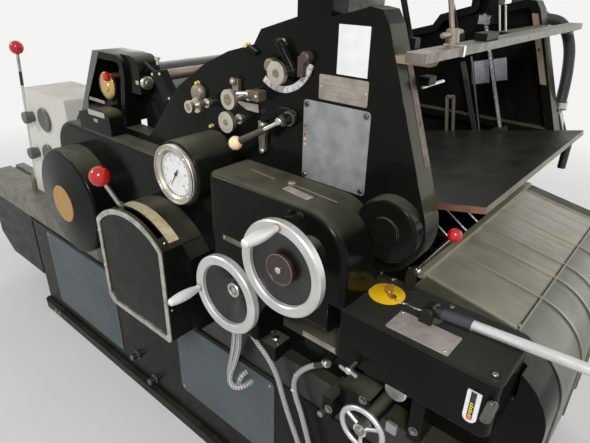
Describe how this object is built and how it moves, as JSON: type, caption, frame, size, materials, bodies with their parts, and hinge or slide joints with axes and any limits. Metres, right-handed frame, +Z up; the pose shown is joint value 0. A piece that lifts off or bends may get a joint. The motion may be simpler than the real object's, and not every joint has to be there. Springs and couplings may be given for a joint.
{
  "type": "cylinder letterpress",
  "caption": "Cast-iron cylinder press on a closed base, with gear casing, handwheels, feeder pile board, delivery guard and hand levers.",
  "frame": {"origin": "middle of the base plinth on the floor", "axes": "+X along the machine towards the delivery end, +Y from the operator's side to the drive side, +Z up"},
  "size_m": [3.0307, 1.466, 1.7],
  "materials": {
    "machine_paint": "gloss black enamel, slightly worn",
    "panel_paint": "satin blue-grey",
    "dark_paint": "satin black",
    "ochre_disc": "satin ochre",
    "white_paint": "satin off-white",
    "rail_iron": "worn grey-green, oiled",
    "bed_steel": "ground",
    "cylinder_steel": "ground",
    "ivory_scale": "aged ivory",
    "ivory_ball": "gloss",
    "bright_steel": "aged bright",
    "red_plastic": "gloss",
    "dark_plastic": "matte",
    "wheel_steel": "satin",
    "dial_face": "printed dial",
    "ink_roller": "satin",
    "board_sheet": "dark slate sheet",
    "hose_rubber": "matte, ribbed",
    "braid": "white braided sleeve",
    "guard_sheet": "taupe sheet, worn",
    "lever_tube": "satin"
  },
  "bodies": {
    "machine": {"base_frame": "machine_paint", "base_panels": "panel_paint", "bed_extension": "machine_paint", "bed_rails": "rail_iron", "type_bed": "bed_steel", "side_frame_near": "machine_paint", "side_frame_far": "machine_paint", "bearing_bosses": "machine_paint", "impression_cylinder": "cylinder_steel", "gear_casing": "machine_paint", "drive_casing": "machine_paint", "gear_cover": "machine_paint", "gear_cover_cap": "ochre_disc", "plate_cover": "machine_paint", "speed_scale": "ivory_scale", "gauge_barrel": "machine_paint", "gauge_bezel": "bright_steel", "gauge_dial": "dial_face", "wheel_spindles": "bright_steel", "ink_hoods": "machine_paint", "ink_bearings": "dark_paint", "spray_unit": "white_paint", "spray_knobs": "bright_steel", "throw_off_bracket": "bright_steel", "lever_pins": "bright_steel", "hoist_spindles": "bright_steel", "feeder_brackets": "bright_steel", "feeder_crossbar": "bright_steel", "frame_tie": "bright_steel", "feeder_head": "bright_steel", "suction_hose": "hose_rubber", "hose_fittings": "dark_plastic", "conduits": "braid", "delivery_guard": "guard_sheet", "delivery_nose": "guard_sheet", "delivery_cheeks": "machine_paint", "control_box": "machine_paint", "control_lid": "machine_paint", "frame_adjusters": "bright_steel", "quadrant_scale": "white_paint", "register_ledge": "machine_paint"},
    "large_wheel": {"handwheel_large": "wheel_steel", "handle_large": "wheel_steel"},
    "small_wheel": {"handwheel_small": "wheel_steel", "handle_small": "wheel_steel"},
    "lower_wheel": {"handwheel_lower": "wheel_steel"},
    "speed_lever": {"speed_lever": "bright_steel", "speed_lever_ball": "red_plastic"},
    "trip_lever": {"trip_lever": "bright_steel", "trip_lever_ball": "ivory_ball"},
    "throw_off_lever": {"throw_off_lever": "bright_steel"},
    "feed_lever": {"feed_lever": "lever_tube"},
    "delivery_lever": {"delivery_lever": "bright_steel"},
    "pile_board": {"pile_board": "board_sheet"},
    "ink_drum": {"ink_drum": "ink_roller"}
  },
  "joints": [
    {"name": "large_wheel_turn", "type": "hinge", "parent": "machine", "child": "large_wheel", "pos_m": [0.731, -0.732, 1.118], "axis": [0, 1, 0], "continuous": true},
    {"name": "small_wheel_turn", "type": "hinge", "parent": "machine", "child": "small_wheel", "pos_m": [0.557, -0.732, 0.973], "axis": [0, 1, 0], "continuous": true},
    {"name": "lower_wheel_turn", "type": "hinge", "parent": "machine", "child": "lower_wheel", "pos_m": [0.918, -0.664, 0.744], "axis": [0, 1, 0], "continuous": true},
    {"name": "speed_lever_turn", "type": "hinge", "parent": "machine", "child": "speed_lever", "pos_m": [0.087, -0.68, 0.778], "axis": [0, 1, 0], "range_deg": [0, 36]},
    {"name": "trip_lever_turn", "type": "hinge", "parent": "machine", "child": "trip_lever", "pos_m": [0.548, -0.52, 1.351], "axis": [0, 1, 0], "range_deg": [-15, 25]},
    {"name": "throw_off_lever_turn", "type": "hinge", "parent": "machine", "child": "throw_off_lever", "pos_m": [-1.224, -0.436, 0.7], "axis": [0, 1, 0], "range_deg": [-40, 0]},
    {"name": "feed_lever_turn", "type": "hinge", "parent": "machine", "child": "feed_lever", "pos_m": [0.975, -0.52, 1.02], "axis": [0, 1, 0], "range_deg": [-50, 0]},
    {"name": "delivery_lever_turn", "type": "hinge", "parent": "machine", "child": "delivery_lever", "pos_m": [0.888, -0.445, 1.045], "axis": [0, 1, 0], "range_deg": [0, 25]},
    {"name": "pile_board_hoist", "type": "slide", "parent": "machine", "child": "pile_board", "axis": [-0.3305, 0, 0.9438], "range_m": [-0.05, 0.14]},
    {"name": "ink_drum_turn", "type": "hinge", "parent": "machine", "child": "ink_drum", "pos_m": [-0.3, 0, 1.305], "axis": [0, 1, 0], "continuous": true}
  ]
}
